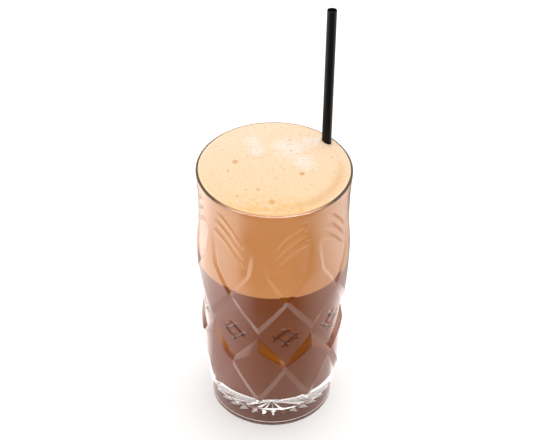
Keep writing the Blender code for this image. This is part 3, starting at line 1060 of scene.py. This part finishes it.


# %% [markdown]
# ## Foam finish
#
# Behind the glass the foam is soaked with coffee and is a warm tan. Painted shade makes it a little
# darker at the right, and painted light lightens it behind facets that lean up to the light.
# On top it has dried to cream, whiter in a few patches towards the back, and yellower towards the
# front, where small orange specks lie in it. The bubbles show the coffee through them, and a darker
# arc of painted shade lies inside the rim at the right front. The top's colours are separate from
# the side's, chosen by height.

# %% Foam material
FOAM_SIDE = (0.57, 0.242, 0.085, 1.0)
# Painted shade: the foam's side is a little darker at the right.
FOAM_SIDE_SHADED_RIGHT = (0.48, 0.205, 0.075, 1.0)
# Painted light: the foam's side behind facets that lean to the light.
FOAM_SIDE_GLOW = (0.74, 0.42, 0.20, 1.0)
FOAM_TOP = (0.785, 0.60, 0.43, 1.0)
FOAM_WHITE = (0.795, 0.675, 0.575, 1.0)
FOAM_YELLOW = (0.775, 0.565, 0.35, 1.0)
FOAM_ORANGE = (0.77, 0.47, 0.19, 1.0)
FOAM_STAIN_AND_SHADE = (0.60, 0.31, 0.12, 1.0)
FOAM_SPECK = (0.70, 0.48, 0.28, 1.0)
FOAM_RADIUS = (1.0, 0.7, 0.45)
MOTTLE_SCALE = 480.0
SPECK_SCALE = 700.0
FROTH_SCALE = 1400.0


def foam_top_color(nodes, links, place, axes):
    mottle = add_noise(nodes, links, place, MOTTLE_SCALE, 4.0)
    front_share = add_span(nodes, links, axes.outputs["Y"], -34 * MM, -4 * MM, 1.0, 0.0)
    mottle = add_math(nodes, links, "MULTIPLY", mottle, front_share)
    orange, mix = add_ramp(nodes, links, mottle, 0.36, 0.62, FOAM_YELLOW, FOAM_ORANGE)
    front, mix = add_ramp(nodes, links, axes.outputs["Y"], -30 * MM, 20 * MM, FOAM_YELLOW, FOAM_TOP)
    links.new(orange, mix.inputs["A"])
    cream = add_attribute(nodes, "cream")
    white, mix = add_ramp(nodes, links, cream, 0.0, 1.0, FOAM_TOP, FOAM_WHITE)
    links.new(front, mix.inputs["A"])
    specks = add_noise(nodes, links, place, SPECK_SCALE, 2.0)
    speckled, mix = add_ramp(nodes, links, specks, 0.52, 0.80, FOAM_TOP, FOAM_SPECK)
    links.new(white, mix.inputs["A"])
    # Stains of the bubbles and pits, and the painted shade of the arc inside the rim.
    stain_and_shade = add_attribute(nodes, "stain_and_shade")
    top, mix = add_ramp(nodes, links, stain_and_shade, 0.0, 1.0, FOAM_TOP, FOAM_STAIN_AND_SHADE)
    links.new(speckled, mix.inputs["A"])
    return top


def foam_side_color(nodes, links, axes):
    # Painted shade darkens the right of the side; painted light from the glow lightens it behind
    # facets.
    across = axes.outputs["X"]
    tan, mix = add_ramp(nodes, links, across, 8 * MM, 26 * MM, FOAM_SIDE, FOAM_SIDE_SHADED_RIGHT)
    glow = add_attribute(nodes, "glow")
    side, mix = add_ramp(nodes, links, glow, 0.05, 0.5, FOAM_SIDE, FOAM_SIDE_GLOW)
    links.new(tan, mix.inputs["A"])
    return side


def foam_material():
    material, nodes, links, shader, output = new_material("coffee_foam")
    place, axes = add_height(nodes, links)
    top = foam_top_color(nodes, links, place, axes)
    side = foam_side_color(nodes, links, axes)
    edge_low, edge_high = FOAM_EDGE + 0.1 * MM, FOAM_EDGE + 0.4 * MM
    edge = add_span(nodes, links, axes.outputs["Z"], edge_low, edge_high, 0.0, 1.0)
    links.new(add_blend(nodes, links, edge, side, top), shader.inputs["Base Color"])
    froth = nodes.new("ShaderNodeBump")
    froth.inputs["Strength"].default_value = 0.35
    froth.inputs["Distance"].default_value = 0.3 * MM
    links.new(add_noise(nodes, links, place, FROTH_SCALE, 4.0), froth.inputs["Height"])
    links.new(froth.outputs["Normal"], shader.inputs["Normal"])
    shader.inputs["Roughness"].default_value = 0.6
    shader.inputs["Subsurface Weight"].default_value = 0.25
    shader.inputs["Subsurface Radius"].default_value = FOAM_RADIUS
    shader.inputs["Subsurface Scale"].default_value = 1 * MM
    shader.inputs["Specular IOR Level"].default_value = 0.05
    return material


foam = build_foam()
finish(foam, "foam", foam_material())

# %% [markdown]
# ## Straw
#
# The straw is a drawn plastic tube, five millimetres across with a thin wall. It is an outline
# of the wall spun round the straw's own axis, and then laid along the line from its foot in the
# drink to where it leans at the lip.

# %% Straw piece
STRAW_WALL = 0.25 * MM
STRAW_LENGTH = 207 * MM
STRAW_FOOT = Vector((24.9 * MM, 6.8 * MM, 20 * MM))
STRAW_AT_RIM = Vector((26.65 * MM, 22.3 * MM, 151.2 * MM))
STRAW_SEGMENTS = 48
STRAW_END_STEPS = 6
STRAW_CREASE = 40.0


def build_straw():
    bm = bmesh.new()
    inner = STRAW_RADIUS - STRAW_WALL
    rounding = STRAW_WALL / 2
    outline = [(inner, 0.0), (STRAW_RADIUS, 0.0)]
    for step in range(STRAW_END_STEPS + 1):
        around = math.pi * step / STRAW_END_STEPS
        outline.append((inner + rounding + rounding * math.cos(around),
                        STRAW_LENGTH - rounding + rounding * math.sin(around)))
    spin_outline(bm, outline + outline[:1], STRAW_SEGMENTS)
    close_seams(bm)
    lean = (STRAW_AT_RIM - STRAW_FOOT).to_track_quat("Z", "Y").to_matrix().to_4x4()
    bmesh.ops.transform(bm, matrix=Matrix.Translation(STRAW_FOOT) @ lean, verts=bm.verts)
    return make_piece("drinking_straw", bm, STRAW_CREASE)


def straw_material():
    material, nodes, links, shader, output = new_material("black_plastic")
    shader.inputs["Base Color"].default_value = (0.006, 0.005, 0.005, 1.0)
    shader.inputs["Roughness"].default_value = 0.3
    shader.inputs["Specular IOR Level"].default_value = 0.12
    return material


straw = build_straw()
finish(straw, "straw", straw_material())

# %% [markdown]
# ## Floor and light
#
# The drink stands on a plain white floor in soft light from all sides. Glass shows what is round
# it. To mirror rays alone the floor shows a painted glow: near the glass it is bright, brightest at
# the two sides, and lays a thin haze over the drink. The haze reaches lower at the left than at the
# right. Farther to the front the painted glow is dim, like a dark card in a studio, so the upper
# middle of the glass shows the foam in its full colour. A hair of air stays between the foot and the
# floor, because glass that touches the floor would not mirror the drink.

# %% Floor
NEAR_GLOW = 1.25
FRONT_GLOW = 0.25
SIDE_GLOW = 2.7
REAR_GLOW = 1.4

# Distances from the axis over which each glow changes, in metres
AHEAD_SPAN = (0.045, 0.125)
BESIDE_SPAN = (0.09, 0.15)
REAR_SPAN = (0.075, 0.11)
CARD_SPAN = (0.150, 0.185)

# Sines of the directions over which the sides and the card's ends begin
SIDE_TURN = (0.45, 0.95)
CARD_TURN = (math.sin(math.radians(44)), math.sin(math.radians(62)))
SIDE_SHIFT = 0.09
RIGHT_DELAY = 0.22
AIR_GAP = 0.08 * MM
FLOOR_HALF = 3.0


def add_vector_step(nodes, links, operation, vector):
    node = nodes.new("ShaderNodeVectorMath")
    node.operation = operation
    links.new(vector, node.inputs[0])
    return node


def painted_floor_glow(nodes, links):
    """Painted glow of each place of the floor, which only a mirror ray sees."""
    place = nodes.new("ShaderNodeNewGeometry").outputs["Position"]
    flat_place = add_vector_step(nodes, links, "MULTIPLY", place)
    flat_place.inputs[1].default_value = (1.0, 1.0, 0.0)
    reach = add_vector_step(nodes, links, "LENGTH", flat_place.outputs[0]).outputs["Value"]
    toward = add_vector_step(nodes, links, "NORMALIZE", flat_place.outputs[0])
    axes = nodes.new("ShaderNodeSeparateXYZ")
    links.new(toward.outputs[0], axes.inputs[0])
    spot = nodes.new("ShaderNodeSeparateXYZ")
    links.new(place, spot.inputs[0])
    side = add_math(nodes, links, "SUBTRACT", axes.outputs["X"], SIDE_SHIFT)
    side = add_math(nodes, links, "ABSOLUTE", side, 0.0)

    ahead = add_span(nodes, links, reach, *AHEAD_SPAN, NEAR_GLOW, FRONT_GLOW)
    rightward = add_math(nodes, links, "MAXIMUM", spot.outputs["X"], 0.0)
    rightward = add_math(nodes, links, "MULTIPLY", rightward, RIGHT_DELAY)
    beside_reach = add_math(nodes, links, "SUBTRACT", reach, rightward)
    beside = add_span(nodes, links, beside_reach, *BESIDE_SPAN, NEAR_GLOW, SIDE_GLOW)
    glow = nodes.new("ShaderNodeMix")
    links.new(add_span(nodes, links, side, *SIDE_TURN, 0.0, 1.0), glow.inputs["Factor"])
    links.new(ahead, glow.inputs["A"])
    links.new(beside, glow.inputs["B"])

    far = add_span(nodes, links, reach, *CARD_SPAN, 0.0, 1.0)
    front = add_span(nodes, links, side, *CARD_TURN, 1.0, 0.0)
    before = add_span(nodes, links, axes.outputs["Y"], -0.1, 0.1, 1.0, 0.0)
    card = add_math(nodes, links, "MULTIPLY", add_math(nodes, links, "MULTIPLY", far, front), before)
    rear = add_span(nodes, links, axes.outputs["Y"], 0.0, 0.4, 0.0, REAR_GLOW)
    near = add_span(nodes, links, reach, *REAR_SPAN, 1.0, 0.0)
    rear = add_math(nodes, links, "MULTIPLY", rear, near)
    light = add_math(nodes, links, "ADD", add_math(nodes, links, "SUBTRACT", 1.0, card), rear)
    return add_math(nodes, links, "MULTIPLY", glow.outputs["Result"], light)


def floor_material():
    material, nodes, links, shader, output = new_material("white_floor")
    shader.inputs["Base Color"].default_value = (0.92, 0.92, 0.92, 1.0)
    shader.inputs["Roughness"].default_value = 0.9
    shader.inputs["Specular IOR Level"].default_value = 0.0
    shader.inputs["Emission Color"].default_value = WHITE
    shader.inputs["Emission Strength"].default_value = 0.08
    emission = nodes.new("ShaderNodeEmission")
    emission.inputs["Color"].default_value = (1.0, 0.95, 0.92, 1.0)
    # Painted glow of the floor, seen only in mirror reflections.
    links.new(painted_floor_glow(nodes, links), emission.inputs["Strength"])
    path = nodes.new("ShaderNodeLightPath")
    glossy, bent = path.outputs["Is Glossy Ray"], path.outputs["Is Transmission Ray"]
    mix = nodes.new("ShaderNodeMixShader")
    links.new(add_math(nodes, links, "SUBTRACT", glossy, bent), mix.inputs["Fac"])
    links.new(shader.outputs[0], mix.inputs[1])
    links.new(emission.outputs[0], mix.inputs[2])
    links.new(mix.outputs[0], output.inputs["Surface"])
    return material


floor_mesh = bmesh.new()
bmesh.ops.create_grid(floor_mesh, x_segments=1, y_segments=1, size=FLOOR_HALF)
bmesh.ops.translate(floor_mesh, vec=(0.0, 0.0, -AIR_GAP), verts=floor_mesh.verts)
floor = make_piece("floor", floor_mesh)
floor.data.materials.append(floor_material())

# %% [markdown]
# ## Room and lamps
#
# The room is white behind and at the sides. To mirror rays it is dim in front, so that the glass
# keeps its contrast. One large lamp above gives the soft shade under the foot. A long strip of
# light over the front is seen only in mirror reflections, where it draws the thin pale line on
# the front of the lip.

# %% World and lamps
ROOM_COLOR = (1.0, 0.99, 0.98, 1.0)
ROOM_DIM = 0.18
ROOM_BEHIND = 1.0
ROOM_BESIDE = 1.2
BEHIND_TURN = (-0.1, 0.35)
BESIDE_TURN = (0.5, 0.8)

world = bpy.data.worlds.new("studio")
world.use_nodes = True
bpy.context.scene.world = world
world_nodes, world_links = world.node_tree.nodes, world.node_tree.links
sky = world_nodes["Background"]
sky.inputs["Color"].default_value = ROOM_COLOR
direction = world_nodes.new("ShaderNodeTexCoord")
world_axes = world_nodes.new("ShaderNodeSeparateXYZ")
world_links.new(direction.outputs["Generated"], world_axes.inputs[0])
world_back = world_axes.outputs["Y"]
behind = add_span(world_nodes, world_links, world_back, *BEHIND_TURN, ROOM_DIM, ROOM_BEHIND)
world_side = add_math(world_nodes, world_links, "ABSOLUTE", world_axes.outputs["X"], 0.0)
beside = add_span(world_nodes, world_links, world_side, *BESIDE_TURN, ROOM_DIM, ROOM_BESIDE)
seen = add_math(world_nodes, world_links, "MAXIMUM", behind, beside)
world_path = world_nodes.new("ShaderNodeLightPath")
plain = add_math(world_nodes, world_links, "SUBTRACT", 1.0, world_path.outputs["Is Glossy Ray"])
world_links.new(add_math(world_nodes, world_links, "MAXIMUM", seen, plain), sky.inputs["Strength"])


def add_lamp(name, place, aim, size, power):
    lamp_data = bpy.data.lights.new(name, "AREA")
    lamp_data.shape = "RECTANGLE"
    lamp_data.size, lamp_data.size_y = size
    lamp_data.energy = power
    lamp = bpy.data.objects.new(name, lamp_data)
    lamp.location = place
    lamp.rotation_euler = (Vector(aim) - Vector(place)).to_track_quat("-Z", "Y").to_euler()
    bpy.context.collection.objects.link(lamp)
    print(name, "of", power, "W")
    return lamp


add_lamp("soft_top", (0.1, 0.3, 1.2), (0.0, 0.0, 0.1), (0.9, 0.9), 5.0)
strip = add_lamp("lip_strip", (0.0, -0.42, 1.05), (0.0, 0.0, 0.15), (2.8, 0.75), 110.0)
strip.visible_diffuse = False
strip.visible_transmission = False
